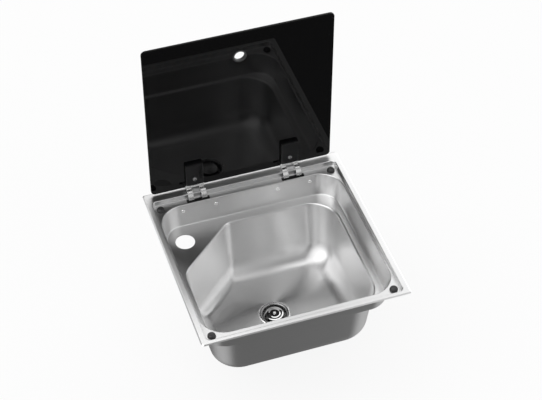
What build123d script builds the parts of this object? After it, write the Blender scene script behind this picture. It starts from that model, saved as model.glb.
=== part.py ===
"""Drop-in stainless sink with a hinged black glass lid.

Units are millimetres. X runs along the front edge, Y runs to the rear (the hinge side), Z is up.
The origin is the centre of the rim, on the plane of the worktop the rim rests on.
The lid is modelled open, standing upright behind the bowl.
"""
import os
from math import acos
from math import atan
from math import cos
from math import degrees
from math import hypot
from math import pi
from math import radians
from math import sin
from math import tan

from build123d import *

# ---------------------------------------------------------------- driving dimensions
sheet = 0.8                 # pressed steel thickness
fit = 0.05                  # room between pieces that are pushed together
play = 0.15                 # room around pieces that drop in or move

# flat rim
rim_half = 210.0            # the rim is 420 x 420, a usual size for a caravan sink
rim_rise = 2.0              # top of the rim above the worktop
rim_bevel = 2.5             # width of the sloping edge
rim_corner = 5.0
flange_side = 13.0          # width of the rim beside the sunk frame
flange_front = 10.5
flange_rear = 27.0          # wider, because the hinges sit under it

# sunk frame that the lid closes into
recess_depth = 9.0          # below the worktop
recess_corner = 9.0
recess_lip = 2.0
recess_foot = 1.2
recess_draft = 0.03         # inward run per millimetre of depth
ledge_side = 4.0            # width of the frame floor around the upper bowl
ledge_front = 17.0
ledge_rear = 16.0

# upper bowl, down to the tap ledge
upper_depth = 60.0
upper_corner = 50.0
upper_corner_low = 42.0
upper_lip = 2.3
upper_foot = 3.5
upper_draft = 0.127

# lower bowl, with a cut-off corner that leaves room for the tap
shelf_left = 19.5           # tap ledge around the lower bowl, from the upper bowl's own plan
shelf_right = 22.5
shelf_front = 14.0
shelf_rear = 28.0
cut_x = 119.7
cut_y = 108.4
lower_depth = 180.0
lower_lip = 4.5
lower_draft = 0.112
lower_feet = (42.0, 42.0, 44.0, 24.0, 35.0)    # floor radius along front, right, rear, cut, left
lower_corners = (64.0, 64.0, 58.0, 24.0, 40.0)
lower_corners_low = (30.0, 30.0, 28.0, 20.0, 26.0)

# tap hole in the ledge, from the upper bowl's rear left corner
tap_in = 44.0
tap_back = 52.3
tap_r = 20.0

# waste, from the middle of the lower bowl's rim
waste_left = 4.3
waste_forward = 12.55
cup_r = 26.0                # outside of the strainer cup
ring_w = 6.5                # the ring around it
cup_room = 1.0              # radial room around the cup in the bowl floor
cup_depth = 10.0
cup_wall = 1.2
cup_floor = 1.0
ring_h = 1.4                # bead of the ring above its flange
seal_t = 1.0                # seal under the flange of the ring
low_seal_t = 1.5            # seal between the bowl floor and the waste body
strainer_hole_r = 4.4
strainer_hole_at = 15.6
body_wall = 2.5
body_depth = 20.0           # from the seal down to where the funnel starts
collar_h = 4.0
collar_over = 1.5           # beyond the ring
funnel_h = 7.0
spigot_r = 12.5             # tail for a 25 mm hose
spigot_wall = 2.0
spigot_len = 30.0
bolt_r = 2.5
bolt_head_r = 5.8
boss_r = 5.0
web_t = 2.0
web_h = 5.0

# lid
glass_t = 5.0
glass_side_gap = 4.5        # between the closed lid and the frame wall
glass_front_gap = 2.5
glass_corner = 9.0
glass_edge = 0.7            # ground edge
lid_rest = 6.0              # underside of the closed lid above the frame floor
finger_in = 56.7            # finger hole from the lid's free edge
finger_r = 10.75
finger_flange = 3.0
finger_bead = 1.6
finger_wall = 0.9

# rubber bumpers the closed lid lies on, from the corners of the sunk frame
bumper_in_x = 13.8
bumper_in_y = 16.1
bumper_r = 8.2
bumper_base_h = 1.6
bumper_hole_r = 3.2
bumper_barb_r = 4.4
bumper_barb_h = 1.7

# hinges
hinge_x = 102.0             # centre of each hinge from the middle of the sink
pivot_back = 8.5            # hinge axis behind the frame's rear wall
pivot_drop = 2.5            # and below the frame floor
lid_up = 17.5               # lower edge of the upright lid above the hinge axis
arm_room = 1.05             # between the curved arm and the top corner of the frame wall
arm_t = 2.5
arm_w = 11.0
arm_pitch = 14.0            # arm centre from the hinge centre
pin_r = 2.5
pin_gap = 0.1
pin_head = 1.2
eye_wall = 2.0
leaf_half = 14.5
leaf_h = 58.0
pad_t = 0.5
bar_below = 0.7             # the crossbar hangs this far below the glass
bar_h = 7.5
hem_proud = 2.5
hem_h = 3.6
hem_round = 1.2
bar_slot = (14.0, 1.4)      # slot in the crossbar, wide and high
screw_up = 25.0             # hinge screws above the lower edge of the lid
peg_up = 50.0
screw_r = 2.0
screw_head_r = 4.5
screw_head_h = 2.2
peg_head_r = 3.6
drive_w = 1.0               # cross slot in a screw head
boss_out_r = 3.8            # threaded bosses of the clamp plate
clamp_half = 16.0
clamp_t = 2.5
cover_half = 18.5
cover_h = 56.4
cover_proud = 4.5
cover_round = 2.5
cover_edge = 1.6
slot_half = 21.0            # slot in the rear ledge for both arms of a hinge
slot_front = 1.1            # slot edges beyond the faces of the arm
slot_back = 1.9
insert_over = 3.0           # the plastic insert covers the slot's edge by this much
insert_h = 2.6
insert_low = 0.9
bracket_half = 45.0
bracket_t = 1.5
bracket_h = 21.0
ear_at = 22.2
ear_t = 2.0
ear_r = 4.5
rivet_in = 9.8              # rivets from the bracket's ends
rivet_drop = 14.0           # and below the frame floor
rivet_r = 2.0
rivet_head = (3.2, 1.3)     # radius and height

# seal under the rim
seal_in = 3.5
seal_w = 4.9

# ---------------------------------------------------------------- places that follow
recess_x = rim_half - flange_side
recess_front = flange_front - rim_half
recess_rear = rim_half - flange_rear
recess_z = -recess_depth
upper_x = recess_x - ledge_side
upper_front = recess_front + ledge_front
upper_rear = recess_rear - ledge_rear
upper_z = -upper_depth
lower_left = shelf_left - upper_x
lower_right = upper_x - shelf_right
lower_front = upper_front + shelf_front
lower_rear = upper_rear - shelf_rear
lower_z = -lower_depth
tap_x = tap_in - upper_x
tap_y = upper_rear - tap_back
waste_x = (lower_left + lower_right) / 2 - waste_left
waste_y = (lower_front + lower_rear) / 2 - waste_forward
ring_r = cup_r + ring_w
pivot_y = recess_rear + pivot_back
pivot_z = recess_z - pivot_drop
closed_z = recess_z + lid_rest                      # underside of the closed lid, on the bumpers
glass_half = recess_x - glass_side_gap
glass_y = pivot_y + (closed_z - pivot_z)            # inner face of the upright lid
glass_z = pivot_z + lid_up                          # lower edge of the upright lid
glass_top = pivot_z + pivot_y - recess_front - glass_front_gap
back_y = glass_y + glass_t
arm_r_in = hypot(pivot_y - recess_rear, rim_rise - pivot_z) + arm_room
arm_r_out = arm_r_in + arm_t


# ---------------------------------------------------------------- outlines
def rectangle(x0, x1, y0, y1):
    return [(x0, y0), (x1, y0), (x1, y1), (x0, y1)]


def toward(p, q):
    """Unit direction from p to q."""
    length = hypot(q[0] - p[0], q[1] - p[1])
    return ((q[0] - p[0]) / length, (q[1] - p[1]) / length)


def ring_wire(points, radii, z):
    """Closed wire around a convex outline (counter-clockwise) with one radius per corner."""
    n = len(points)
    arcs = []
    for i in range(n):
        corner = points[i]
        back = toward(corner, points[i - 1])
        ahead = toward(corner, points[(i + 1) % n])
        opening = acos(max(-1.0, min(1.0, back[0] * ahead[0] + back[1] * ahead[1])))
        half = (pi - opening) / 2
        cut = radii[i] * tan(half)
        start = (corner[0] + back[0] * cut, corner[1] + back[1] * cut)
        end = (corner[0] + ahead[0] * cut, corner[1] + ahead[1] * cut)
        inward = (back[0] + ahead[0], back[1] + ahead[1])
        reach = radii[i] * (1.0 / cos(half) - 1.0) / hypot(*inward)
        middle = (corner[0] + inward[0] * reach, corner[1] + inward[1] * reach)
        arcs.append((start, middle, end))
    edges = []
    for i in range(n):
        start, middle, end = arcs[i]
        edges.append(Edge.make_three_point_arc((*start, z), (*middle, z), (*end, z)))
        edges.append(Edge.make_line((*end, z), (*arcs[(i + 1) % n][0], z)))
    return Wire(edges)


def inset(points, shift):
    """Move every side of a convex outline inwards; shift[i] belongs to the side from point i."""
    n = len(points)
    moved = []
    for i in range(n):
        x, y = points[i]
        before = toward(points[i - 1], points[i])
        after = toward(points[i], points[(i + 1) % n])
        n1 = (-before[1], before[0])
        n2 = (-after[1], after[0])
        c1 = n1[0] * x + n1[1] * y + shift[i - 1]
        c2 = n2[0] * x + n2[1] * y + shift[i]
        det = n1[0] * n2[1] - n1[1] * n2[0]
        moved.append(((c1 * n2[1] - c2 * n1[1]) / det, (n1[0] * c2 - n2[0] * c1) / det))
    return moved


# ---------------------------------------------------------------- simple solids
def disc(x, y, z0, z1, r):
    return Pos(x, y, (z0 + z1) / 2) * Cylinder(r, abs(z1 - z0))


def rod_y(x, y0, y1, z, r):
    return Pos(x, (y0 + y1) / 2, z) * Rot(90, 0, 0) * Cylinder(r, abs(y1 - y0))


def rod_x(x0, x1, y, z, r):
    return Pos((x0 + x1) / 2, y, z) * Rot(0, 90, 0) * Cylinder(r, abs(x1 - x0))


def block(x0, x1, y0, y1, z0, z1):
    return Pos((x0 + x1) / 2, (y0 + y1) / 2, (z0 + z1) / 2) * Box(x1 - x0, y1 - y0, z1 - z0)


def plate_yz(points, x0, x1):
    """Plate with an outline in the YZ plane between x0 and x1."""
    wire = Wire.make_polygon([(x0, y, z) for y, z in points], close=True)
    return Solid.extrude(Face(wire), Vector(x1 - x0, 0, 0))


def turned(points):
    """Solid of revolution about Z from (radius, z) points."""
    return Solid.revolve(Face(Wire.make_polygon([(r, 0, z) for r, z in points], close=True)), 360, Axis.Z)


def frame_ring(half, z0, z1, r, width, r_in):
    """Square ring with vertical walls."""
    outer = ring_wire(rectangle(-half, half, -half, half), [r] * 4, z0)
    inner_half = half - width
    inner = ring_wire(rectangle(-inner_half, inner_half, -inner_half, inner_half), [r_in] * 4, z0)
    return Solid.extrude(Face(outer, [inner]), Vector(0, 0, z1 - z0))


def save(shape, name):
    solids = shape.solids()
    out = solids[0] if len(solids) == 1 else Compound(list(solids))
    out.label = name
    export_step(out, "parts/" + name + ".step")


os.makedirs("parts", exist_ok=True)

# ---------------------------------------------------------------- sink body
# One sheet pressed in three steps: sunk frame, upper bowl, lower bowl. Each step is a skin of
# lofted outlines, made once for the inner and once for the outer side of the sheet.
recess_plan = rectangle(-recess_x, recess_x, recess_front, recess_rear)
upper_plan = rectangle(-upper_x, upper_x, upper_front, upper_rear)
lower_plan = [
    (lower_left, lower_front),
    (lower_right, lower_front),
    (lower_right, lower_rear),
    (lower_left + cut_x, lower_rear),
    (lower_left, lower_rear - cut_y),
]


def pressed(points, corners, corners_low, z0, z1, lip, feet, draft, side):
    """Skin of one pressed step: rounded lip, drafted wall, rounded foot.

    feet holds one foot radius per side of points, the side that starts at each corner.
    side is 0 for the inner skin and the sheet's thickness for the outer one.
    Returns the top wire, the faces and the bottom wire.
    """
    theta = atan(draft)
    reach = tan((pi / 2 - theta) / 2)
    n = len(points)
    ends = [draft * (z0 - z1) + foot * reach for foot in feet]
    mean_end = sum(ends) / n

    def outline(offsets, z):
        radii = []
        for i in range(n):
            moved = (offsets[i - 1] + offsets[i]) / 2
            if moved < 0:
                radii.append(corners[i] - moved)
            else:
                radii.append(corners[i] + (corners_low[i] - corners[i]) * moved / mean_end)
        return ring_wire(inset(points, offsets), radii, z)

    def side_offset(i, z):
        """Inward offset of side i at height z, on the wall or on the foot's arc."""
        r = feet[i] + side
        s = (z1 + feet[i] - z) / r
        if s <= sin(theta):
            return draft * (z0 - z) - side / cos(theta)
        return ends[i] - r * max(0.0, 1.0 - s * s) ** 0.5

    lip_r = lip - side
    lip_steps = 4
    lip_wires = []
    for k in range(lip_steps + 1):
        a = pi / 2 - (pi / 2 - theta) * k / lip_steps
        lip_wires.append(outline([lip_r * cos(a) - lip * reach] * n, z0 - lip + lip_r * sin(a)))
    deepest = max(feet)
    foot_steps = 10 if deepest > sheet * 12 else 4
    foot_wires = []
    for k in range(foot_steps + 1):
        a = theta + (pi / 2 - theta) * k / foot_steps
        z = z1 + deepest - (deepest + side) * sin(a)
        foot_wires.append(outline([side_offset(i, z) for i in range(n)], z))
    faces = list(Shell.make_loft(lip_wires, ruled=False).faces())
    faces += list(Shell.make_loft([lip_wires[-1], foot_wires[0]], ruled=True).faces())
    faces += list(Shell.make_loft(foot_wires, ruled=False).faces())
    return lip_wires[0], faces, foot_wires[-1]


def skin(side, rim_wire):
    """All faces of one side of the pressing, from the rim down to the bowl floor."""
    recess_low = [recess_corner - recess_foot] * 4
    recess_top, recess_faces, recess_end = pressed(
        recess_plan, [recess_corner] * 4, recess_low, rim_rise, recess_z,
        recess_lip, [recess_foot] * 4, recess_draft, side)
    upper_top, upper_faces, upper_end = pressed(
        upper_plan, [upper_corner] * 4, [upper_corner_low] * 4, recess_z, upper_z,
        upper_lip, [upper_foot] * 4, upper_draft, side)
    lower_top, lower_faces, lower_end = pressed(
        lower_plan, lower_corners, lower_corners_low, upper_z, lower_z,
        lower_lip, lower_feet, lower_draft, side)
    flats = [
        Face(rim_wire, [recess_top]), Face(recess_end, [upper_top]),
        Face(upper_end, [lower_top]), Face(lower_end),
    ]
    return recess_faces + upper_faces + lower_faces + flats


def rim_outline(inward, z):
    half = rim_half - inward
    return ring_wire(rectangle(-half, half, -half, half), [rim_corner - inward / 2] * 4, z)


bevel_run = rim_bevel / rim_rise
under = sheet / sin(atan(rim_rise / rim_bevel))
outer_low = rim_outline(0.0, 0.0)
outer_high = rim_outline(rim_bevel, rim_rise)
inner_low = rim_outline(under, 0.0)
inner_high = rim_outline(under + (rim_rise - sheet) * bevel_run, rim_rise - sheet)
faces = skin(0.0, outer_high) + skin(sheet, inner_high)
faces += list(Shell.make_loft([outer_low, outer_high], ruled=True).faces())
faces += list(Shell.make_loft([inner_low, inner_high], ruled=True).faces())
faces.append(Face(outer_low, [inner_low]))
body = Solid(Shell(faces))
print("pressing", round(body.volume), "mm3, valid:", body.is_valid)

through = 5 * sheet
body = body.cut(disc(tap_x, tap_y, upper_z - through, upper_z + through, tap_r))
floor_hole_r = cup_r + cup_room
body = body.cut(disc(waste_x, waste_y, lower_z - through, lower_z + through, floor_hole_r))

bumper_x = recess_x - bumper_in_x
bumper_places = {
    "bumper_rear_left": (-bumper_x, recess_rear - bumper_in_y),
    "bumper_rear_right": (bumper_x, recess_rear - bumper_in_y),
    "bumper_front_left": (-bumper_x, recess_front + bumper_in_y),
    "bumper_front_right": (bumper_x, recess_front + bumper_in_y),
}
for x, y in bumper_places.values():
    body = body.cut(disc(x, y, recess_z - through, recess_z + through, bumper_hole_r))

# slots for the hinge arms in the rear ledge, and rivet holes square to the rear wall
slot_y0 = pivot_y - arm_r_out - slot_front
slot_y1 = pivot_y - arm_r_in + slot_back
wall_tilt = degrees(atan(upper_draft))
rivet_z = recess_z - rivet_drop
wall_y = upper_rear - upper_draft * rivet_drop       # inside of the wall at rivet height
rivet_half = bracket_half - rivet_in
for side in (-1, 1):
    x = side * hinge_x
    slot = block(x - slot_half, x + slot_half, slot_y0, slot_y1, recess_z - through, recess_z + sheet)
    body = body.cut(slot)
    for k in (-1, 1):
        hole = Pos(x + k * rivet_half, wall_y, rivet_z) * Rot(90 - wall_tilt, 0, 0)
        body = body.cut(hole * Cylinder(rivet_r + fit, 2 * through))
save(body, "sink_body")

# ---------------------------------------------------------------- seal under the rim
seal_corner = rim_corner - seal_in / 2
seal = frame_ring(rim_half - seal_in, 0.0, rim_rise - sheet, seal_corner, seal_w, recess_corner)
save(seal, "rim_seal")

# ---------------------------------------------------------------- bumpers
for name, (x, y) in bumper_places.items():
    top = closed_z - fit
    under_z = recess_z - sheet
    stem_r = bumper_hole_r - 4 * fit
    dome_h = top - recess_z - bumper_base_h
    dome = turned([
        (0, under_z - bumper_barb_h - sheet), (stem_r * 0.7, under_z - bumper_barb_h - sheet),
        (bumper_barb_r, under_z - sheet), (bumper_barb_r, under_z - fit), (stem_r, under_z - fit),
        (stem_r, recess_z), (bumper_r, recess_z), (bumper_r, recess_z + bumper_base_h),
        (bumper_r * 0.91, recess_z + bumper_base_h + dome_h * 0.32),
        (bumper_r * 0.76, recess_z + bumper_base_h + dome_h * 0.62),
        (bumper_r * 0.54, recess_z + bumper_base_h + dome_h * 0.88), (bumper_r * 0.3, top), (0, top),
    ])
    save(Pos(x, y, 0) * dome, name)

# ---------------------------------------------------------------- hinges
leaf_y1 = glass_y - pad_t
leaf_y0 = leaf_y1 - arm_t
bar_half = arm_pitch + arm_w / 2
screw_z = glass_z + screw_up
peg_z = glass_z + peg_up
hole_r = screw_r + 2 * play
leg_top = recess_z - sheet - play
eye_r = pin_r + pin_gap + eye_wall
leg_low = pivot_z - 0.75 * eye_r
bar_z1 = glass_z - bar_below + bar_h
hem_z0 = bar_z1 - 0.5 * hem_h
cover_y0 = leaf_y0 - cover_proud
cover_z0 = hem_z0 + hem_h + fit
wide = bracket_half         # cutters run past the widest piece of a hinge

for side, tag in ((-1, "left"), (1, "right")):
    hx = side * hinge_x

    # leaf: two curved arms on the pin, joined by a bar and a plate on the lid
    ring = rod_x(hx - bar_half, hx + bar_half, pivot_y, pivot_z, arm_r_out)
    ring = ring - rod_x(hx - wide, hx + wide, pivot_y, pivot_z, arm_r_in)
    far = 3 * arm_r_out
    last = acos((leaf_y1 - pivot_y) / arm_r_out)
    sector = plate_yz([
        (pivot_y, pivot_z), (pivot_y + far * cos(last), pivot_z + far * sin(last)),
        (pivot_y - far, pivot_z + far), (pivot_y - far, leg_low), (pivot_y, leg_low),
    ], hx - wide, hx + wide)
    leg = plate_yz([
        (pivot_y - arm_r_in - arm_t / 2, leg_top), (pivot_y - eye_r / 2, leg_top), (pivot_y, pivot_z),
        (pivot_y, leg_low), (pivot_y - arm_r_in - arm_t / 2, leg_low),
    ], hx - bar_half, hx + bar_half)
    eye = rod_x(hx - bar_half, hx + bar_half, pivot_y, pivot_z, eye_r)
    between = arm_pitch - arm_w / 2
    gap = block(hx - between, hx + between, pivot_y - far, pivot_y + far, pivot_z - far, pivot_z + far)
    arms = ((ring & sector) + leg + eye) - gap
    bar = block(hx - bar_half, hx + bar_half, leaf_y0, leaf_y1, glass_z - bar_below, bar_z1)
    hem = block(hx - bar_half, hx + bar_half, leaf_y0 - hem_proud, leaf_y1, hem_z0, hem_z0 + hem_h)
    hem = fillet(hem.edges().filter_by(Axis.X).group_by(Axis.Y)[0], hem_round)
    slot_w, slot_h = bar_slot
    slot_z = hem_z0 + hem_h / 2
    slot = block(hx - slot_w / 2, hx + slot_w / 2, leaf_y0 - 2 * hem_proud, leaf_y0 - hem_proud / 3,
                 slot_z - slot_h / 2, slot_z + slot_h / 2)
    plate = block(hx - leaf_half, hx + leaf_half, leaf_y0, leaf_y1, bar_z1 - bar_below, glass_z + leaf_h)
    leaf = arms + (bar + hem - slot) + plate
    leaf = leaf - rod_x(hx - wide, hx + wide, pivot_y, pivot_z, pin_r + pin_gap)
    for z in (screw_z, peg_z):
        leaf = leaf - rod_y(hx, leaf_y0 - play, leaf_y1 + play, z, hole_r)
    save(leaf, "hinge_leaf_" + tag)

    # rubber pads on both faces of the glass
    pad = block(hx - leaf_half, hx + leaf_half, leaf_y1, glass_y, glass_z + pad_t, glass_z + leaf_h)
    out_y = back_y + pad_t
    pad_out = block(hx - leaf_half, hx + leaf_half, back_y, out_y, glass_z + pad_t, glass_z + leaf_h)
    glass_hole_r = boss_out_r + 8 * fit
    for z in (screw_z, peg_z):
        pad = pad - rod_y(hx, leaf_y1 - play, glass_y + play, z, hole_r)
        pad_out = pad_out - rod_y(hx, back_y - play, out_y + play, z, glass_hole_r)
    save(pad, "hinge_pad_inner_" + tag)
    save(pad_out, "hinge_pad_outer_" + tag)

    # outer clamp plate with two threaded bosses through the glass
    clamp_z0 = glass_z + pad_t
    clamp = block(hx - clamp_half, hx + clamp_half, out_y, out_y + clamp_t, clamp_z0, clamp_z0 + leaf_h)
    clamp = fillet(clamp.edges().filter_by(Axis.Y), 0.8 * clamp_t)
    thread_r = screw_r + 2 * fit
    tip_y = back_y - pad_t
    for z in (screw_z, peg_z):
        clamp = clamp + rod_y(hx, glass_y + 2 * play, out_y + clamp_t / 2, z, boss_out_r)
    for z in (screw_z, peg_z):
        clamp = clamp - rod_y(hx, glass_y, tip_y + 2 * clamp_t / 3, z, thread_r)
    save(clamp, "hinge_clamp_" + tag)

    # black cover over the leaf
    cover = block(hx - cover_half, hx + cover_half, cover_y0, leaf_y1, cover_z0, cover_z0 + cover_h)
    cover = fillet(cover.edges().filter_by(Axis.Y), cover_round)
    cover = fillet(cover.faces().sort_by(Axis.Y)[0].edges(), cover_edge)
    pocket = leaf_half + play
    cover = cover - block(hx - pocket, hx + pocket, leaf_y0 - fit, leaf_y1, glass_z, glass_z + leaf_h + play)
    cover = cover - rod_y(hx, cover_y0 - play, leaf_y1, screw_z, hole_r)
    cover = cover - rod_y(hx, leaf_y0 - cover_proud / 2, leaf_y1, peg_z, peg_head_r + 2 * play)
    save(cover, "hinge_cover_" + tag)

    # cover screw, and the hidden leaf screw under the cover
    head_y = cover_y0 - screw_head_h
    drive_y = head_y + 0.45 * screw_head_h
    head = rod_y(hx, head_y, cover_y0, screw_z, screw_head_r)
    head = chamfer(head.edges().sort_by(Axis.Y)[0], 0.36 * screw_head_h)
    drive = 0.7 * screw_head_r
    head = head - block(hx - drive, hx + drive, head_y, drive_y, screw_z - drive_w / 2, screw_z + drive_w / 2)
    head = head - block(hx - drive_w / 2, hx + drive_w / 2, head_y, drive_y, screw_z - drive, screw_z + drive)
    save(head + rod_y(hx, cover_y0 - play, tip_y, screw_z, screw_r), "hinge_screw_" + tag)
    peg_head = rod_y(hx, leaf_y0 - screw_r, leaf_y0, peg_z, peg_head_r)
    save(peg_head + rod_y(hx, leaf_y0 - play, tip_y, peg_z, screw_r), "hinge_inner_screw_" + tag)

    # slot insert in the rear ledge, low behind the arms so that the leaf passes over it
    insert_half = slot_half + insert_over
    arm_y0 = pivot_y - arm_r_out - 4 * play
    arm_y1 = pivot_y - arm_r_in + 9 * play
    insert = block(hx - insert_half, hx + insert_half, slot_y0 - insert_over / 2, slot_y1 + insert_over / 2,
                   recess_z, recess_z + insert_h)
    insert = fillet(insert.edges().filter_by(Axis.Z), insert_over / 3)
    tongue = slot_half - play
    insert = insert + block(hx - tongue, hx + tongue, slot_y0 + play, slot_y1 - play,
                            recess_z - sheet, recess_z + insert_low / 2)
    for k in (-1, 1):
        ax = hx + k * arm_pitch
        half = arm_w / 2 + 4 * play
        insert = insert - block(ax - half, ax + half, arm_y0, arm_y1, recess_z - through, recess_z + insert_h)
    insert = insert - block(hx - insert_half, hx + insert_half, arm_y1, slot_y1 + insert_over,
                            recess_z + insert_low, recess_z + insert_h)
    save(insert, "slot_insert_" + tag)

    # bracket behind the rear wall, tilted with the wall, with an ear at each end of the pin
    on_wall = Pos(hx, wall_y, rivet_z) * Rot(-wall_tilt, 0, 0) * Pos(0, sheet, 0)
    bracket = on_wall * Pos(0, bracket_t / 2, 0) * Box(2 * bracket_half, bracket_t, bracket_h)
    for k in (-1, 1):
        rivet_hole = Rot(90, 0, 0) * Cylinder(rivet_r + fit, 3 * bracket_t)
        bracket = bracket - on_wall * Pos(k * rivet_half, bracket_t / 2, 0) * rivet_hole
    ear_top = recess_z - 4.5 * sheet
    ear_low = rivet_z - bracket_h / 2
    for k in (-1, 1):
        x0 = hx + k * ear_at - ear_t / 2
        ear = plate_yz([
            (wall_y, ear_top), (pivot_y - ear_r, ear_top), (pivot_y, pivot_z + ear_r),
            (pivot_y + ear_r, pivot_z), (pivot_y + ear_r * 0.7, pivot_z - ear_r * 0.7),
            (wall_y + ear_r * 2.5, ear_low + ear_r), (wall_y, ear_low),
        ], x0, x0 + ear_t)
        ear = ear + rod_x(x0, x0 + ear_t, pivot_y, pivot_z, ear_r)
        room = on_wall * Pos(0, -2 * ear_r, 0) * Box(2 * wide, 4 * ear_r, 4 * bracket_h)
        bracket = bracket + (ear - room)
    bracket = bracket - rod_x(hx - wide, hx + wide, pivot_y, pivot_z, pin_r + fit / 2)
    save(bracket, "hinge_bracket_" + tag)

    pin_half = ear_at + ear_t / 2
    pin = rod_x(hx - pin_half - pin_head, hx + pin_half + pin_head, pivot_y, pivot_z, pin_r)
    for k in (-1, 1):
        end = hx + k * (pin_half + fit)
        pin = pin + rod_x(end, end + k * pin_head, pivot_y, pivot_z, pin_r + pin_head)
    save(pin, "hinge_pin_" + tag)

    head_r, head_h = rivet_head
    stack = sheet + bracket_t
    rivet = Rot(90, 0, 0) * turned([
        (0, head_h), (head_r * 0.45, head_h * 0.88), (head_r * 0.8, head_h * 0.54), (head_r, 0.0),
        (rivet_r, 0.0), (rivet_r, -stack - fit), (head_r, -stack - fit),
        (head_r * 0.8, -stack - head_h * 0.8), (0, -stack - head_h),
    ])
    for k, place in ((-1, "a"), (1, "b")):
        seat = Pos(hx + k * rivet_half, wall_y, rivet_z) * Rot(-wall_tilt, 0, 0)
        save(seat * rivet, "hinge_rivet_" + tag + "_" + place)

# ---------------------------------------------------------------- glass lid
finger_z = glass_top - finger_in
lid = block(-glass_half, glass_half, glass_y, back_y, glass_z, glass_top)
lid = fillet(lid.edges().filter_by(Axis.Y), glass_corner)
lid = chamfer(lid.edges().group_by(Axis.Y)[0] + lid.edges().group_by(Axis.Y)[-1], glass_edge)
barrel_r = finger_r + 2 * finger_wall - play
lid = lid - rod_y(0, glass_y, back_y, finger_z, barrel_r + fit)
for side in (-1, 1):
    for z in (screw_z, peg_z):
        lid = lid - rod_y(side * hinge_x, glass_y, back_y, z, glass_hole_r)
save(lid, "glass_lid")

# ---------------------------------------------------------------- finger ring, two halves
flange_r = finger_r + finger_flange
soft = finger_bead / 2
sleeve_r = finger_r + finger_wall
in_glass = Pos(0, glass_y, finger_z) * Rot(90, 0, 0)
half_deep = 0.3 * glass_t
ring_inner = turned([
    (finger_r, finger_bead - soft), (finger_r + soft, finger_bead), (flange_r - soft, finger_bead),
    (flange_r, finger_bead - soft), (flange_r, 0), (barrel_r - fit, 0),
    (barrel_r - fit, -glass_t + 2 * fit), (sleeve_r, -glass_t + 2 * fit),
    (sleeve_r, -half_deep), (finger_r, -half_deep),
])
save(in_glass * ring_inner, "finger_ring_inner")
ring_outer = turned([
    (finger_r, -half_deep - fit), (sleeve_r - fit, -half_deep - fit), (sleeve_r - fit, -glass_t),
    (flange_r, -glass_t), (flange_r, -glass_t - finger_bead + soft),
    (flange_r - soft, -glass_t - finger_bead), (finger_r + soft, -glass_t - finger_bead),
    (finger_r, -glass_t - finger_bead + soft),
])
save(in_glass * ring_outer, "finger_ring_outer")

# ---------------------------------------------------------------- waste, all turned about one axis
on_waste = Pos(waste_x, waste_y, lower_z)
seal_r = floor_hole_r + fit
seal_top = turned([(seal_r, 0), (ring_r - cup_wall, 0), (ring_r - cup_wall, seal_t), (seal_r, seal_t)])
save(on_waste * seal_top, "waste_seal_top")

# strainer cup: the ring lies on the seal, its bead stands proud, and the cup hangs through the floor
cup_in_r = cup_r - cup_wall
low = -cup_depth - cup_floor
bead = 0.4 * ring_h
cup = turned([
    (0, low), (cup_r, low), (cup_r, seal_t), (ring_r - bead, seal_t), (ring_r, seal_t + bead),
    (ring_r - 2 * bead, seal_t + ring_h), (ring_r - 2 * ring_h - 2 * bead, seal_t + ring_h),
    (cup_r + cup_wall / 2, seal_t + 0.7 * ring_h), (cup_r - cup_wall / 2, seal_t - 0.1 * ring_h),
    (cup_in_r, seal_t - ring_h), (cup_in_r, -0.76 * cup_depth),
    (cup_in_r - 2 * cup_wall, -cup_depth), (bolt_head_r + 2 * cup_wall, -cup_depth),
    (bolt_head_r + cup_wall, -cup_depth + cup_floor), (0, -cup_depth + cup_floor),
])
for k in range(6):
    hole = Pos(strainer_hole_at, 0, -cup_depth) * Cylinder(strainer_hole_r, 4 * cup_floor)
    cup = cup - Rot(0, 0, 60 * k + 30) * hole
cup = cup - Pos(0, 0, -cup_depth) * Cylinder(bolt_r + 4 * play, 4 * cup_floor)
save(on_waste * cup, "waste_strainer")

neck_r = floor_hole_r + 6 * fit
body_r = neck_r + cup_wall + body_wall
collar_r = ring_r + collar_over
seal_z = -sheet - low_seal_t
low_seal_r = collar_r - cup_room
seal_low = turned([(neck_r, seal_z), (low_seal_r, seal_z), (low_seal_r, -sheet), (neck_r, -sheet)])
save(on_waste * seal_low, "waste_seal_bottom")

# waste body: collar under the seal, chamber, funnel and hose tail, with a boss for the centre bolt
wall_end = seal_z - body_depth + 1.2 * body_wall
funnel_end = seal_z - body_depth - funnel_h
tail_end = funnel_end - spigot_len
bore_r = spigot_r - spigot_wall
chamber_r = body_r - body_wall
shell = turned([
    (neck_r, seal_z), (collar_r, seal_z), (collar_r, seal_z - collar_h),
    (body_r, seal_z - collar_h - cup_room), (body_r, wall_end), (body_r - body_wall, seal_z - body_depth),
    (spigot_r, funnel_end), (spigot_r, tail_end), (bore_r, tail_end), (bore_r, funnel_end + body_wall),
    (chamber_r - body_wall, seal_z - body_depth + body_wall), (chamber_r, wall_end + body_wall),
    (chamber_r, seal_z - collar_h + cup_room), (neck_r, seal_z - collar_h + cup_room),
])
bolt_end = seal_z - body_depth
boss_z1 = low + seal_z / 2
boss = Pos(0, 0, (boss_z1 + bolt_end - web_t) / 2) * Cylinder(boss_r, boss_z1 - bolt_end + web_t)
web_z = seal_z - body_depth + web_h
for k in range(3):
    boss = boss + Rot(0, 0, 120 * k + 90) * Pos(body_r / 2, 0, web_z) * Box(body_r, web_t, web_h)
room = turned([
    (0, 0), (chamber_r + fit, 0), (chamber_r + fit, wall_end + body_wall),
    (chamber_r - body_wall, seal_z - body_depth + body_wall - fit), (bore_r, funnel_end + body_wall),
    (0, funnel_end),
])
boss = (boss & room) - Pos(0, 0, bolt_end) * Cylinder(bolt_r + 2 * fit, 4 * cup_depth)
save(on_waste * (shell + boss), "waste_body")

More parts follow.
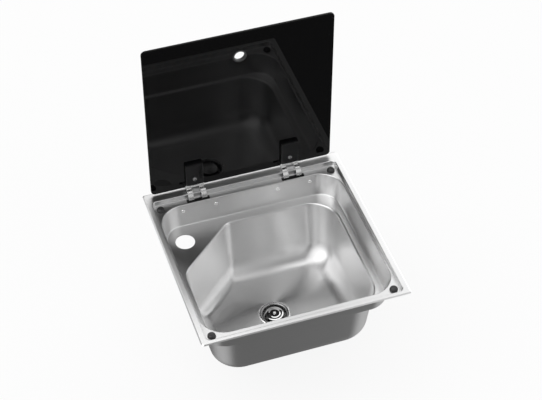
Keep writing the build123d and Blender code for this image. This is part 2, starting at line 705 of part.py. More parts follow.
# centre bolt: domed head with a coin slot, down into the boss
head_z = -cup_depth + cup_floor
head_h = 0.5 * bolt_head_r
bolt = turned([
    (0, head_z), (bolt_head_r * 0.76, head_z), (bolt_head_r * 0.97, head_z + head_h * 0.24),
    (bolt_head_r, head_z + head_h * 0.55), (bolt_head_r * 0.72, head_z + head_h * 0.9),
    (0, head_z + head_h),
])
bolt_z0 = bolt_end - web_t / 2
bolt_z1 = head_z + head_h / 2
bolt = bolt + Pos(0, 0, (bolt_z0 + bolt_z1) / 2) * Cylinder(bolt_r, bolt_z1 - bolt_z0)
coin_slot = Box(1.4 * bolt_head_r, drive_w, head_h)
bolt = bolt - Pos(0, 0, head_z + head_h) * coin_slot
save(on_waste * bolt, "waste_screw")
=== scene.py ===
from math import acos, atan, cos, hypot, pi, radians, sin, tan

import bmesh
import bpy
from mathutils import Euler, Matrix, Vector


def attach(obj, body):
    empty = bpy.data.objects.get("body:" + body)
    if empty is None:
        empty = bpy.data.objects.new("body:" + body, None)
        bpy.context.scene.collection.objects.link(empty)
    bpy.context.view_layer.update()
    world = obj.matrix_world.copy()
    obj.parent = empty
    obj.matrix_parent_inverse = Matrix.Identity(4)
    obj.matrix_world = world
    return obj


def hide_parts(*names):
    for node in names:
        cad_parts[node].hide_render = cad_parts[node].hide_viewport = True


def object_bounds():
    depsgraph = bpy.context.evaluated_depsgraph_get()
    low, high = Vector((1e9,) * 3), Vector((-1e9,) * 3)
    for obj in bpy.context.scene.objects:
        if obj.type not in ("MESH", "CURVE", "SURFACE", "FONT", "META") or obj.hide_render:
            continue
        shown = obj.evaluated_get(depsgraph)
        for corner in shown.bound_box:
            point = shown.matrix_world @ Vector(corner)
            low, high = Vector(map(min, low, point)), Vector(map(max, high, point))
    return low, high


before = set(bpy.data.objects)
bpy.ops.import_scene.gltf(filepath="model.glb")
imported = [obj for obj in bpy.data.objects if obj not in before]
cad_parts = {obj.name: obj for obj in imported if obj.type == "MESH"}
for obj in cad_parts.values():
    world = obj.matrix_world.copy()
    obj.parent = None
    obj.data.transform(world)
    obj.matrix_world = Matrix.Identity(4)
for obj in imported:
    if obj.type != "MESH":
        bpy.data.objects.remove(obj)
cad_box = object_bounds()

# ------------------------------------------------------------------ pressed sink
# One sheet of 0.8 mm stainless steel, pressed in three steps: a sunk frame for the lid, a shallow
# upper bowl down to the tap ledge, and the deep lower bowl with its cut-off corner. Satin finish.
MM = 0.001
sheet = 0.8
rim_half = 210.0
rim_rise = 2.0
rim_bevel = 2.5
rim_corner = 5.0
recess_z = -9.0
upper_z = -60.0
lower_z = -180.0
wall_draft = 0.127
upper_rear = 167.0
recess = dict(
    plan=[(-197.0, -199.5), (197.0, -199.5), (197.0, 183.0), (-197.0, 183.0)],
    corners=[9.0] * 4, corners_low=[7.8] * 4, top=rim_rise, floor=recess_z,
    lip=2.0, feet=[1.2] * 4, drafts=[0.03] * 4,
)
upper = dict(
    plan=[(-193.0, -182.5), (193.0, -182.5), (193.0, upper_rear), (-193.0, upper_rear)],
    corners=[50.0] * 4, corners_low=[42.0] * 4, top=recess_z, floor=upper_z,
    lip=2.3, feet=[3.5] * 4, drafts=[wall_draft] * 4,
)
lower = dict(
    plan=[(-173.5, -168.5), (170.5, -168.5), (170.5, 139.0), (-53.8, 139.0), (-173.5, 30.6)],
    corners=[64.0, 64.0, 58.0, 24.0, 40.0], corners_low=[30.0, 30.0, 28.0, 20.0, 26.0],
    top=upper_z, floor=lower_z, lip=4.5, feet=[42.0, 42.0, 46.5, 30.0, 35.0],
    drafts=[0.112, 0.112, 0.262, 0.19, 0.112],
)
tap_hole = (-149.0, 114.7, 20.0)
waste_x, waste_y = -5.8, -27.3
floor_hole = (waste_x, waste_y, 27.0)
hinge_x = 102.0
slots = [(side * hinge_x, 173.64, 42.0, 5.5) for side in (-1, 1)]
corner_steps = 14
side_steps = 6
lip_steps = 8
wall_steps = 4
hole_steps = 64
apron = 0.12


def toward(p, q):
    """The direction from one plan point to another."""
    length = hypot(q[0] - p[0], q[1] - p[1])
    return ((q[0] - p[0]) / length, (q[1] - p[1]) / length)


def outline(points, radii):
    """Points round a convex plan whose corners are arcs, as many on every outline of that plan."""
    n = len(points)
    arcs = []
    for i in range(n):
        corner = points[i]
        back = toward(corner, points[i - 1])
        ahead = toward(corner, points[(i + 1) % n])
        half = (pi - acos(back[0] * ahead[0] + back[1] * ahead[1])) / 2
        cut = radii[i] * tan(half)
        start = (corner[0] + back[0] * cut, corner[1] + back[1] * cut)
        centre = (start[0] + back[1] * radii[i], start[1] - back[0] * radii[i])
        arc = []
        for k in range(corner_steps + 1):
            a = 2 * half * k / corner_steps
            dx, dy = start[0] - centre[0], start[1] - centre[1]
            arc.append((centre[0] + dx * cos(a) - dy * sin(a), centre[1] + dx * sin(a) + dy * cos(a)))
        arcs.append(arc)
    ring = []
    for i in range(n):
        ring += arcs[i]
        (x0, y0), (x1, y1) = arcs[i][-1], arcs[(i + 1) % n][0]
        for k in range(1, side_steps):
            ring.append((x0 + (x1 - x0) * k / side_steps, y0 + (y1 - y0) * k / side_steps))
    return ring


def inset(points, shift):
    """A convex plan with every side moved inwards by its own shift."""
    n = len(points)
    moved = []
    for i in range(n):
        x, y = points[i]
        before = toward(points[i - 1], points[i])
        after = toward(points[i], points[(i + 1) % n])
        n1, n2 = (-before[1], before[0]), (-after[1], after[0])
        c1 = n1[0] * x + n1[1] * y + shift[i - 1]
        c2 = n2[0] * x + n2[1] * y + shift[i]
        det = n1[0] * n2[1] - n1[1] * n2[0]
        moved.append(((c1 * n2[1] - c2 * n1[1]) / det, (n1[0] * c2 - n2[0] * c1) / det))
    return moved


def step_rings(plan, corners, corners_low, top, floor, lip, feet, drafts):
    """Outlines of one pressed step, from the flat above it to the flat below it."""
    n = len(plan)
    thetas = [atan(draft) for draft in drafts]      # each wall's lean from upright
    steepest = min(thetas)
    reaches = [tan((pi / 2 - theta) / 2) for theta in thetas]
    ends = [drafts[i] * (top - floor) + feet[i] * reaches[i] for i in range(n)]

    def offset(i, z):
        up = (z - top + lip) / lip
        if up > sin(thetas[i]):
            return lip * (max(0.0, 1 - up * up) ** 0.5 - reaches[i])
        down = (floor + feet[i] - z) / feet[i]
        if down > sin(thetas[i]):
            return ends[i] - feet[i] * max(0.0, 1 - down * down) ** 0.5
        return drafts[i] * (top - z)

    def ring(z, past=0.0):
        offsets = [offset(i, z) + past for i in range(n)]
        radii = []
        for i in range(n):
            share = (offsets[i - 1] + offsets[i]) / (ends[i - 1] + ends[i])
            if share < 0:
                radii.append(corners[i] - (offsets[i - 1] + offsets[i]) / 2)
            else:
                radii.append(corners[i] + (corners_low[i] - corners[i]) * share)
        return [(x, y, z) for x, y in outline(inset(plan, offsets), radii)]

    deepest = max(feet)
    lip_end = top - lip * (1 - sin(steepest))
    foot_start = floor + deepest * (1 - sin(steepest))
    rings = [ring(top, -apron)]
    for k in range(lip_steps + 1):
        rings.append(ring(top - lip + lip * sin(pi / 2 - (pi / 2 - steepest) * k / lip_steps)))
    for k in range(1, wall_steps):
        rings.append(ring(lip_end + (foot_start - lip_end) * k / wall_steps))
    foot_steps = 20 if deepest > 10 else 8
    for k in range(foot_steps + 1):
        rings.append(ring(floor + deepest * (1 - sin(steepest + (pi / 2 - steepest) * k / foot_steps))))
    rings.append(ring(floor, apron))
    return rings


def circle(x, y, r, count):
    return [(x + r * cos(2 * pi * k / count), y + r * sin(2 * pi * k / count)) for k in range(count)]


def new_piece(name, mesh):
    piece = bpy.data.objects.new(name, mesh)
    bpy.context.scene.collection.objects.link(piece)
    return piece


def add_ring(bm, ring):
    return [bm.verts.new((x * MM, y * MM, z * MM)) for x, y, z in ring]


def bridge(bm, upper_ring, lower_ring):
    count = len(upper_ring)
    for i in range(count):
        j = (i + 1) % count
        bm.faces.new((upper_ring[i], lower_ring[i], lower_ring[j], upper_ring[j]))


def fill_flat(bm, outer, inner_loops):
    """Flat ground between a loop and the loops inside it."""
    edges = []
    for loop in [outer] + inner_loops:
        for i in range(len(loop)):
            a, b = loop[i], loop[(i + 1) % len(loop)]
            edges.append(bm.edges.get((a, b)) or bm.edges.new((a, b)))
    made = bmesh.ops.triangle_fill(bm, edges=edges, use_beauty=True, use_dissolve=False)
    return [face for face in made["geom"] if isinstance(face, bmesh.types.BMFace)]


bm = bmesh.new()
loops = {}
for key, step in (("recess", recess), ("upper", upper), ("lower", lower)):
    rings = [add_ring(bm, ring) for ring in step_rings(**step)]
    for a, b in zip(rings, rings[1:]):
        bridge(bm, a, b)
    loops[key] = (rings[0], rings[-1])
square = [(-rim_half, -rim_half), (rim_half, -rim_half), (rim_half, rim_half), (-rim_half, rim_half)]
slope = atan(rim_rise / rim_bevel)
rim_soft = 2.0
rim_steps = 5
turn = rim_bevel + rim_soft * tan(slope / 2)
rim_profile = [(0.0, 0.0)]
for k in range(rim_steps + 1):
    lean = slope * (1 - k / rim_steps)
    rim_profile.append((turn - rim_soft * sin(lean), rim_rise - rim_soft * (1 - cos(lean))))
rim_profile.append((turn + 0.15, rim_rise))
rim_rings = []
for inward, z in rim_profile:
    plan = outline(inset(square, [inward] * 4), [rim_corner - inward / 2] * 4)
    rim_rings.append([(x, y, z) for x, y in plan])
rim_loops = [add_ring(bm, ring) for ring in rim_rings]
for a, b in zip(rim_loops, rim_loops[1:]):
    bridge(bm, a, b)
flat_loops = []
for z, ring in ((upper_z, circle(*tap_hole, hole_steps)), (lower_z, circle(*floor_hole, hole_steps))):
    flat_loops.append(add_ring(bm, [(x, y, z) for x, y in ring]))
slot_loops = []
for x, y, w, d in slots:
    ring = [(x - w / 2, y - d / 2), (x + w / 2, y - d / 2), (x + w / 2, y + d / 2), (x - w / 2, y + d / 2)]
    slot_loops.append(add_ring(bm, [(px, py, recess_z) for px, py in ring]))
fill_flat(bm, rim_loops[-1], [loops["recess"][0]])
fill_flat(bm, loops["recess"][1], [loops["upper"][0]] + slot_loops)
fill_flat(bm, loops["upper"][1], [loops["lower"][0], flat_loops[0]])
fill_flat(bm, loops["lower"][1], [flat_loops[1]])
bmesh.ops.recalc_face_normals(bm, faces=bm.faces)
if sum(face.normal.z for face in bm.faces) < 0:
    bmesh.ops.reverse_faces(bm, faces=bm.faces)
for face in bm.faces:
    face.smooth = True
mesh = bpy.data.meshes.new("pressed_sink")
bm.to_mesh(mesh)
bm.free()
pressed_sink = new_piece("pressed_sink", mesh)
thick = pressed_sink.modifiers.new("sheet", "SOLIDIFY")
thick.thickness = sheet * MM
thick.offset = -1.0
thick.use_even_offset = True
bpy.context.view_layer.update()
solid = bpy.data.meshes.new_from_object(pressed_sink.evaluated_get(bpy.context.evaluated_depsgraph_get()))
pressed_sink.modifiers.clear()
pressed_sink.data = solid
for vertex in solid.vertices:       # the rim's edge stands flat on the worktop
    if max(abs(vertex.co.x), abs(vertex.co.y)) > (rim_half - 5.0) * MM and vertex.co.z < 0:
        vertex.co.z = 0.0
solid.set_sharp_from_angle(angle=radians(40))
flats = [top - down for top in (rim_rise, recess_z, upper_z, lower_z) for down in (0.0, sheet)]
normals = []
for polygon in solid.polygons:
    up = polygon.normal.z
    for corner in polygon.vertices:
        z = solid.vertices[corner].co.z / MM
        on_flat = abs(up) > 0.3 and min(abs(z - flat) for flat in flats) < 0.002
        normals.append((0.0, 0.0, 1.0 if up > 0 else -1.0) if on_flat else (0.0, 0.0, 0.0))
solid.normals_split_custom_set(normals)


class Socket:
    """A value in a node tree that takes + - * with numbers and other values."""

    def __init__(self, tree, link):
        self.tree = tree
        self.link = link

    def _math(self, operation, a, b):
        return self.tree.add("ShaderNodeMath", {"operation": operation}, {0: a, 1: b})[0]

    def __add__(self, other):
        return self._math("ADD", self, other)

    def __mul__(self, other):
        return self._math("MULTIPLY", self, other)

    def __sub__(self, other):
        return self._math("SUBTRACT", self, other)

    def __rsub__(self, other):
        return self._math("SUBTRACT", other, self)

    __radd__ = __add__
    __rmul__ = __mul__


class Outputs:
    """The outputs of one node, by name or number."""

    def __init__(self, tree, node):
        self.tree = tree
        self.node = node

    def __getitem__(self, key):
        return Socket(self.tree, self.node.outputs[key])


class Tree:
    """A node tree of a material, of the world or of a modifier."""

    def __init__(self, tree):
        self.tree = tree
        tree.nodes.clear()

    def add(self, kind, settings=None, inputs=None):
        """One node: its settings first, then the values or links of its sockets."""
        node = self.tree.nodes.new(kind)
        for name, value in (settings or {}).items():
            setattr(node, name, value)
        for key, value in (inputs or {}).items():
            if isinstance(value, Socket):
                self.tree.links.new(value.link, node.inputs[key])
            else:
                node.inputs[key].default_value = value
        return Outputs(self, node)


def new_material(name):
    material = bpy.data.materials.new(name)
    material.use_nodes = True
    return material, Tree(material.node_tree)


def satin_steel(name, base, rough, grain, stretch, drawn=0.0):
    """Pressed stainless steel: fine grain drawn along one way, faint cloudiness from polishing."""
    material, shader = new_material(name)
    place = shader.add("ShaderNodeTexCoord")["Object"]
    along = shader.add("ShaderNodeMapping", {}, {"Vector": place, "Scale": stretch})[0]
    brush = shader.add("ShaderNodeTexNoise", {}, {"Vector": along, "Scale": 700.0, "Detail": 2.0})["Fac"]
    cloud = shader.add("ShaderNodeTexNoise", {}, {"Vector": place, "Scale": 14.0, "Detail": 2.0})["Fac"]
    grit = shader.add("ShaderNodeTexNoise", {}, {"Vector": place, "Scale": 2600.0, "Detail": 2.0})["Fac"]
    roughness = rough + (cloud - 0.5) * 0.03 + (brush - 0.5) * 0.08
    tone = (brush - 0.5) * 0.25 + (cloud - 0.5) * 0.05
    darker = (base * 0.9, base * 0.9, base * 0.905, 1)
    lighter = (base * 1.1, base * 1.1, base * 1.095, 1)
    colour = shader.add("ShaderNodeMix", {"data_type": "RGBA"}, {
        "Factor": 0.5 + tone, "A": darker, "B": lighter,
    })
    height = brush * 0.6 + grit * 0.4
    bump = shader.add("ShaderNodeBump", {}, {"Strength": grain, "Distance": 0.00003, "Height": height})[0]
    surface = shader.add("ShaderNodeBsdfPrincipled", {}, {
        "Base Color": colour["Result"], "Metallic": 1.0, "Roughness": roughness,
        "Anisotropic": drawn, "Anisotropic Rotation": 0.25, "Normal": bump,
    })[0]
    shader.add("ShaderNodeOutputMaterial", {}, {"Surface": surface})
    return material


sink_steel = satin_steel("satin_steel", 0.8, 0.3, 0.06, (0.05, 1.0, 1.0), 0.9)
solid.materials.clear()
solid.materials.append(sink_steel)
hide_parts("sink_body")
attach(pressed_sink, "sink")


# ------------------------------------------------------------------ rim seal
# A flat frame of black rubber, which seals the sink on the worktop. It is glued under the rim, a little
# way in from its edge.
def moulded(name, colour, rough, mottle, bumps, bump_size, ior=1.5):
    """Moulded plastic or rubber: one colour, slightly uneven gloss, a fine skin texture."""
    material, shader = new_material(name)
    place = shader.add("ShaderNodeTexCoord")["Object"]
    skin = shader.add("ShaderNodeTexNoise", {}, {"Vector": place, "Scale": bump_size, "Detail": 3.0})["Fac"]
    wear = shader.add("ShaderNodeTexNoise", {}, {"Vector": place, "Scale": 60.0, "Detail": 4.0})["Fac"]
    darker = tuple(c * 0.75 for c in colour) + (1.0,)
    lighter = tuple(c * 1.35 for c in colour) + (1.0,)
    tone = shader.add("ShaderNodeMix", {"data_type": "RGBA"}, {"Factor": wear, "A": darker, "B": lighter})
    bump = shader.add("ShaderNodeBump", {}, {"Strength": bumps, "Distance": 0.00005, "Height": skin})[0]
    surface = shader.add("ShaderNodeBsdfPrincipled", {}, {
        "Base Color": tone["Result"], "Roughness": rough + (wear - 0.5) * mottle,
        "IOR": ior, "Normal": bump,
    })[0]
    shader.add("ShaderNodeOutputMaterial", {}, {"Surface": surface})
    return material


def dressed_copy(node, material, body, sharp=35, plain=False):
    """A merged, smooth copy of a CAD piece, which replaces it; plain keeps its flat faces flat."""
    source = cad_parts[node].data
    bm = bmesh.new()
    bm.from_mesh(source)
    bmesh.ops.remove_doubles(bm, verts=bm.verts, dist=0.000002)
    for face in bm.faces:
        face.smooth = True
    mesh = bpy.data.meshes.new(node + "_dressed")
    bm.to_mesh(mesh)
    bm.free()
    mesh.set_sharp_from_angle(angle=radians(sharp))
    if plain:
        normals = []
        for polygon in mesh.polygons:
            flat = max(abs(part) for part in polygon.normal) > 0.99999
            normals += [tuple(polygon.normal) if flat else (0.0, 0.0, 0.0)] * len(polygon.vertices)
        mesh.normals_split_custom_set(normals)
    mesh.materials.clear()
    mesh.materials.append(material)
    piece = new_piece(node + "_dressed", mesh)
    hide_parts(node)
    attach(piece, body)
    return piece


rubber = moulded("black_rubber", (0.022, 0.022, 0.023), 0.42, 0.2, 0.3, 1500.0)
dressed_copy("rim_seal", rubber, "sink")

# ------------------------------------------------------------------ lid bumpers
# Four moulded rubber bumpers that the closed lid lies on, each with a shallow dish in its top. The
# barbed stem is pushed through a hole in a corner of the sunk frame and holds under the sheet.
bumper_profile = [
    (0.0, 5.45), (2.4, 5.5), (3.5, 5.72), (4.6, 5.93), (5.6, 5.8), (6.6, 5.2), (7.4, 4.2), (7.9, 3.0),
    (8.2, 1.6), (8.2, 0.15), (8.0, 0.0), (3.0, 0.0), (3.0, -0.85), (4.4, -1.6), (2.1, -3.3), (0.0, -3.3),
]
turned_pairs = bpy.data.node_groups.new("turned_pairs", "GeometryNodeTree")
for label, kind in (
    ("Profile", "NodeSocketGeometry"), ("Segments", "NodeSocketInt"), ("First place", "NodeSocketVector"),
    ("Step across", "NodeSocketVector"), ("Step along", "NodeSocketVector"), ("Tilt", "NodeSocketVector"),
    ("Across", "NodeSocketInt"), ("Along", "NodeSocketInt"), ("Material", "NodeSocketMaterial"),
):
    turned_pairs.interface.new_socket(name=label, in_out="INPUT", socket_type=kind)
turned_pairs.interface.new_socket(name="Pieces", in_out="OUTPUT", socket_type="NodeSocketGeometry")
tree = Tree(turned_pairs)
given = tree.add("NodeGroupInput")
size = tree.add("GeometryNodeAttributeDomainSize", {"component": "MESH"}, {0: given["Profile"]})
count = size["Point Count"]
grid = tree.add("GeometryNodeMeshGrid", {}, {
    "Size X": 1.0, "Size Y": 1.0, "Vertices X": count, "Vertices Y": given["Segments"] + 1,
})["Mesh"]
along_grid = tree.add("ShaderNodeSeparateXYZ", {}, {0: tree.add("GeometryNodeInputPosition")[0]})
index = (along_grid["X"] + 0.5) * (count - 1) + 0.5
angle = (along_grid["Y"] + 0.5) * (2 * pi)
corner = tree.add("GeometryNodeSampleIndex", {
    "data_type": "FLOAT_VECTOR", "domain": "POINT", "clamp": True,
}, {
    "Geometry": given["Profile"], "Value": tree.add("GeometryNodeInputPosition")[0],
    "Index": tree.add("ShaderNodeMath", {"operation": "FLOOR"}, {0: index})[0],
})
reach = tree.add("ShaderNodeSeparateXYZ", {}, {0: corner[0]})
wound = tree.add("ShaderNodeCombineXYZ", {}, {
    "X": reach["X"] * tree.add("ShaderNodeMath", {"operation": "COSINE"}, {0: angle})[0],
    "Y": reach["X"] * tree.add("ShaderNodeMath", {"operation": "SINE"}, {0: angle})[0], "Z": reach["Z"],
})
wall = tree.add("GeometryNodeSetPosition", {}, {"Geometry": grid, "Position": wound[0]})
closed = tree.add("GeometryNodeMergeByDistance", {}, {"Geometry": wall[0], "Distance": 0.00001})
row = tree.add("GeometryNodeMeshLine", {}, {
    "Count": given["Across"], "Start Location": given["First place"], "Offset": given["Step across"],
})
pair = tree.add("GeometryNodeMeshLine", {}, {"Count": given["Along"], "Offset": given["Step along"]})
places = tree.add("GeometryNodeInstanceOnPoints", {}, {"Points": row[0], "Instance": pair[0]})
set_out = tree.add("GeometryNodeInstanceOnPoints", {}, {
    "Points": tree.add("GeometryNodeRealizeInstances", {}, {0: places[0]})[0], "Instance": closed[0],
    "Rotation": tree.add("FunctionNodeEulerToRotation", {}, {0: given["Tilt"]})[0],
})
real = tree.add("GeometryNodeRealizeInstances", {}, {0: set_out[0]})
painted = tree.add("GeometryNodeSetMaterial", {}, {"Geometry": real[0], "Material": given["Material"]})
tree.add("NodeGroupOutput", {}, {0: painted[0]})


def turned_set(name, profile, values, sharp):
    """Turned pieces set out in two pairs, as one mesh."""
    chain = bpy.data.meshes.new(name)
    points = [(r * MM, 0.0, z * MM) for r, z in profile]
    chain.from_pydata(points, [(i, i + 1) for i in range(len(points) - 1)], [])
    piece = new_piece(name, chain)
    modifier = piece.modifiers.new("set out", "NODES")
    modifier.node_group = turned_pairs
    for item in turned_pairs.interface.items_tree:
        if item.in_out == "INPUT" and item.name in values:
            value = values[item.name]
            if item.name in ("First place", "Step across", "Step along"):
                value = tuple(v * MM for v in value)
            modifier[item.identifier] = value
    bpy.context.view_layer.update()
    made = bpy.data.meshes.new_from_object(piece.evaluated_get(bpy.context.evaluated_depsgraph_get()))
    piece.modifiers.clear()
    piece.data = made
    bm = bmesh.new()
    bm.from_mesh(made)
    bmesh.ops.recalc_face_normals(bm, faces=bm.faces)
    for face in bm.faces:
        face.smooth = True
    bm.to_mesh(made)
    bm.free()
    made.set_sharp_from_angle(angle=radians(sharp))
    return piece


bumper_x, bumper_front, bumper_rear = 183.2, -183.4, 166.9
bumpers = turned_set("lid_bumpers", bumper_profile, {
    "Segments": 40, "First place": (-bumper_x, bumper_front, recess_z),
    "Step across": (2 * bumper_x, 0.0, 0.0), "Step along": (0.0, bumper_rear - bumper_front, 0.0),
    "Across": 2, "Along": 2, "Tilt": (0.0, 0.0, 0.0), "Material": rubber,
}, 50)
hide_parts("bumper_rear_left", "bumper_rear_right", "bumper_front_left", "bumper_front_right")
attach(bumpers, "sink")

# ------------------------------------------------------------------ waste
# A stainless strainer cup hangs in the bowl floor on a rubber seal, and a moulded plastic body with a
# hose tail is drawn up against it from below by the centre bolt. A polished cap lies over the cup.
waste_steel = satin_steel("waste_steel", 0.8, 0.16, 0.03, (1.0, 1.0, 1.0))
polished = satin_steel("polished_cap", 0.8, 0.07, 0.01, (1.0, 1.0, 1.0))
# The strainer cup's steel carries painted shade: it is painted dark inside its hollow and lighter on its
# bead.
cup_steel_painted_shade, shader = new_material("cup_steel_painted_shade")
place = shader.add("ShaderNodeTexCoord")["Object"]
centred = shader.add("ShaderNodeMapping", {}, {
    "Vector": place, "Location": (-waste_x * MM, -waste_y * MM, 0.0), "Scale": (1.0, 1.0, 0.0),
})[0]
radius = shader.add("ShaderNodeVectorMath", {"operation": "LENGTH"}, {0: centred})["Value"]
# Painted shade: within 28.7 mm of the waste's centre the steel is painted 0.3, and from 29.5 mm out it is
# the bead's 0.86.
outside_painted_shade = shader.add("ShaderNodeMapRange", {}, {"Value": radius, "From Min": 0.0287, "From Max": 0.0295})[0]
cloud = shader.add("ShaderNodeTexNoise", {}, {"Vector": place, "Scale": 250.0, "Detail": 3.0})["Fac"]
colour = shader.add("ShaderNodeMix", {"data_type": "RGBA"}, {
    "Factor": outside_painted_shade, "A": (0.3, 0.3, 0.3, 1), "B": (0.86, 0.86, 0.86, 1),
})["Result"]
surface = shader.add("ShaderNodeBsdfPrincipled", {}, {
    "Base Color": colour, "Metallic": 1.0, "Roughness": 0.22 + cloud * 0.1,
})[0]
shader.add("ShaderNodeOutputMaterial", {}, {"Surface": surface})
waste_plastic = moulded("waste_plastic", (0.03, 0.03, 0.032), 0.45, 0.15, 0.3, 900.0)
dressed_copy("waste_strainer", cup_steel_painted_shade, "sink", 30)
cap_profile = [
    (0.0, 6.2), (1.5, 6.0), (2.6, 5.3), (3.0, 4.3), (3.1, 3.17), (6.0, 3.04), (9.2, 2.83), (9.7, 2.96),
    (10.3, 2.92), (10.9, 2.68), (13.0, 2.46), (15.5, 2.15), (17.3, 1.89), (18.2, 1.6), (18.5, 1.0),
    (18.5, -0.8), (17.6, -0.8), (17.5, 0.8), (4.6, 2.0), (4.6, -5.9), (0.0, -5.9),
]
cap = turned_set("waste_cap", cap_profile, {
    "Segments": 64, "First place": (waste_x, waste_y, lower_z), "Step across": (0.0, 0.0, 0.0),
    "Step along": (0.0, 0.0, 0.0), "Across": 1, "Along": 1, "Tilt": (0.0, 0.0, 0.0), "Material": polished,
}, 40)
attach(cap, "sink")
dressed_copy("waste_screw", waste_steel, "sink", 30)
dressed_copy("waste_seal_top", rubber, "sink")
dressed_copy("waste_seal_bottom", rubber, "sink")
dressed_copy("waste_body", waste_plastic, "sink", 30)

# ------------------------------------------------------------------ hinges
# Two gooseneck hinges: a bent steel leaf with two arms turns on a pin in a bracket behind the rear wall,
# and is clamped with a black cover, rubber pads and a plate through holes in the glass.
bright_steel = satin_steel("bright_steel", 0.95, 0.22, 0.05, (1.0, 1.0, 1.0))
gloss_black = moulded("gloss_black", (0.006, 0.006, 0.0065), 0.1, 0.04, 0.05, 400.0, 1.3)
for tag in ("left", "right"):
    dressed_copy("hinge_bracket_" + tag, bright_steel, "sink")
    dressed_copy("hinge_pin_" + tag, bright_steel, "sink")
    dressed_copy("slot_insert_" + tag, gloss_black, "sink")
    dressed_copy("hinge_leaf_" + tag, bright_steel, "lid", plain=True)
    dressed_copy("hinge_cover_" + tag, gloss_black, "lid", plain=True)
    dressed_copy("hinge_clamp_" + tag, gloss_black, "lid", plain=True)
    dressed_copy("hinge_inner_screw_" + tag, bright_steel, "lid")
    dressed_copy("hinge_pad_inner_" + tag, rubber, "lid")
    dressed_copy("hinge_pad_outer_" + tag, rubber, "lid")

# ------------------------------------------------------------------ cover screws
# Two blackened steel button screws with a socket. Each goes through its cover, the leaf and the glass
# into the threaded boss of the outer clamp plate.
screw_steel = satin_steel("screw_steel", 0.28, 0.2, 0.05, (1.0, 1.0, 1.0))
screw_profile = [
    (0.0, 0.5), (1.9, 0.5), (2.1, 1.75), (2.7, 1.8), (3.6, 1.45), (4.2, 0.85), (4.5, 0.0), (2.0, 0.0),
    (2.0, -12.0), (0.0, -12.0),
]
screws = turned_set("hinge_screws", screw_profile, {
    "Segments": 32, "First place": (-hinge_x, 192.5, 31.0), "Step across": (2 * hinge_x, 0.0, 0.0),
    "Step along": (0.0, 0.0, 0.0), "Across": 2, "Along": 1, "Tilt": (pi / 2, 0.0, 0.0),
    "Material": screw_steel,
}, 35)
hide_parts("hinge_screw_left", "hinge_screw_right")
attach(screws, "lid")

# ------------------------------------------------------------------ hinge rivets
# Four steel rivets with dimpled heads, two for each hinge. They join the brackets behind the bowl's
# rear wall to it, and lean with that wall.
rivet_profile = [
    (0.0, 0.15), (1.7, 0.15), (2.1, 1.2), (2.8, 1.4), (3.6, 1.05), (4.1, 0.45), (4.25, 0.0), (2.0, 0.0),
    (2.0, -2.35), (4.2, -2.35), (3.4, -3.4), (0.0, -3.7),
]
rivet_reach = 35.2
rivet_z = -24.0
rivet_y = upper_rear - wall_draft * (recess_z - rivet_z)
rivets = turned_set("hinge_rivets", rivet_profile, {
    "Segments": 24, "First place": (-hinge_x - rivet_reach, rivet_y, rivet_z),
    "Step across": (2 * hinge_x, 0.0, 0.0), "Step along": (2 * rivet_reach, 0.0, 0.0),
    "Across": 2, "Along": 2, "Tilt": (pi / 2 - atan(wall_draft), 0.0, 0.0), "Material": bright_steel,
}, 40)
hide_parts("hinge_rivet_left_a", "hinge_rivet_left_b", "hinge_rivet_right_a", "hinge_rivet_right_b")
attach(rivets, "sink")

# ------------------------------------------------------------------ glass lid
# A pane of 5 mm toughened glass, coated black, with ground edges. A grey plastic ring of two halves,
# pressed together through a hole near its free edge, is the finger hold.
black_glass, shader = new_material("black_glass")
place = shader.add("ShaderNodeTexCoord")["Object"]
haze = shader.add("ShaderNodeTexNoise", {}, {"Vector": place, "Scale": 9.0, "Detail": 5.0})["Fac"]
surface = shader.add("ShaderNodeBsdfPrincipled", {}, {
    "Base Color": (0.002, 0.002, 0.0022, 1), "Roughness": 0.01 + haze * 0.02, "IOR": 1.31,
})[0]
shader.add("ShaderNodeOutputMaterial", {}, {"Surface": surface})
dressed_copy("glass_lid", black_glass, "lid", 20, plain=True)
grey_plastic = moulded("grey_plastic", (0.05, 0.05, 0.052), 0.3, 0.15, 0.2, 900.0)
dressed_copy("finger_ring_inner", grey_plastic, "lid")
dressed_copy("finger_ring_outer", grey_plastic, "lid")

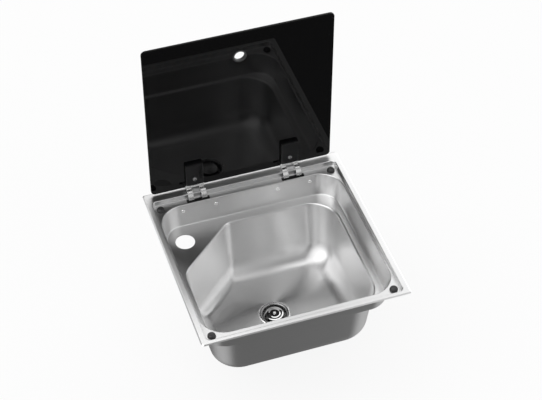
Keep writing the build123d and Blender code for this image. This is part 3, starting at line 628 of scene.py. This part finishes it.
# ------------------------------------------------------------------ floor, light and camera
# A plain pale floor, a sky with seven large soft lights, and the camera of the photo. The camera sees
# white behind the object, and the steel and the glass mirror the lights.
floor_mesh = bpy.data.meshes.new("floor")
far = 6.0
low = cad_box[0].z - 0.0005
corners = [(-far, -far, low), (far, -far, low), (far, far, low), (-far, far, low)]
floor_mesh.from_pydata(corners, [], [(0, 1, 2, 3)])
floor = new_piece("floor", floor_mesh)
pale_floor, shader = new_material("pale_floor")
ray = shader.add("ShaderNodeLightPath")
white = shader.add("ShaderNodeEmission", {}, {"Color": (1, 1, 1, 1), "Strength": 1.0})[0]
paint = shader.add("ShaderNodeBsdfDiffuse", {}, {"Color": (0.8, 0.8, 0.8, 1)})[0]
seen = shader.add("ShaderNodeMixShader", {}, {0: 0.88, 1: paint, 2: white})[0]
surface = shader.add("ShaderNodeMixShader", {}, {0: ray["Is Camera Ray"], 1: paint, 2: seen})[0]
shader.add("ShaderNodeOutputMaterial", {}, {"Surface": surface})
floor_mesh.materials.append(pale_floor)
floor.visible_glossy = False

world = bpy.data.worlds.new("studio")
bpy.context.scene.world = world
world.use_nodes = True
shader = Tree(world.node_tree)
way = shader.add("ShaderNodeTexCoord")["Generated"]
core = 3


def soft_light(direction, half_angle):
    """1 in the middle of a round light in the sky, fading to 0 at its half angle in degrees."""
    middle = tuple(Vector(direction).normalized())
    dot = shader.add("ShaderNodeVectorMath", {"operation": "DOT_PRODUCT"}, {0: way, 1: middle})
    return shader.add("ShaderNodeMapRange", {"interpolation_type": "SMOOTHSTEP"}, {
        "Value": dot["Value"], "From Min": cos(radians(half_angle)), "From Max": cos(radians(core)),
    })[0]


soft_lights = [
    ((-0.5, -0.3, 0.7), 46, 1.3),       # high over the left front
    ((-0.6, 0.3, 0.7), 40, 1.2),        # high over the left rear
    ((0.1, 0.4, 0.9), 40, 1.3),         # above the lid
    ((0.75, 0.55, 0.2), 46, 1.45),      # tall, right rear
    ((0.65, -0.55, 0.5), 40, 0.9),      # fill from the right front
    ((-0.7, -0.1, -0.6), 40, 0.45),     # light from the table, left
    ((0.7, 0.0, -0.6), 40, 0.45),       # light from the table, right
]
level = 0.14
for direction, half_angle, strength in soft_lights:
    level = soft_light(direction, half_angle) * strength + level
ray = shader.add("ShaderNodeLightPath")
seen = ray["Is Camera Ray"]
strength = level * (1 - seen) + seen
lit = shader.add("ShaderNodeBackground", {}, {"Color": (1, 1, 1, 1), "Strength": strength})[0]
shader.add("ShaderNodeOutputWorld", {}, {"Surface": lit})

camera_data = bpy.data.cameras.new("camera")
camera_data.sensor_width = 36.0
camera_data.lens = 102.27
camera = bpy.data.objects.new("camera", camera_data)
camera.location = (-0.6755, -1.9892, 2.1973)
camera.rotation_euler = Euler((radians(45.32), 0.0, radians(-18.65)))
bpy.context.scene.collection.objects.link(camera)
bpy.context.scene.camera = camera
bpy.context.scene.view_settings.view_transform = "Standard"
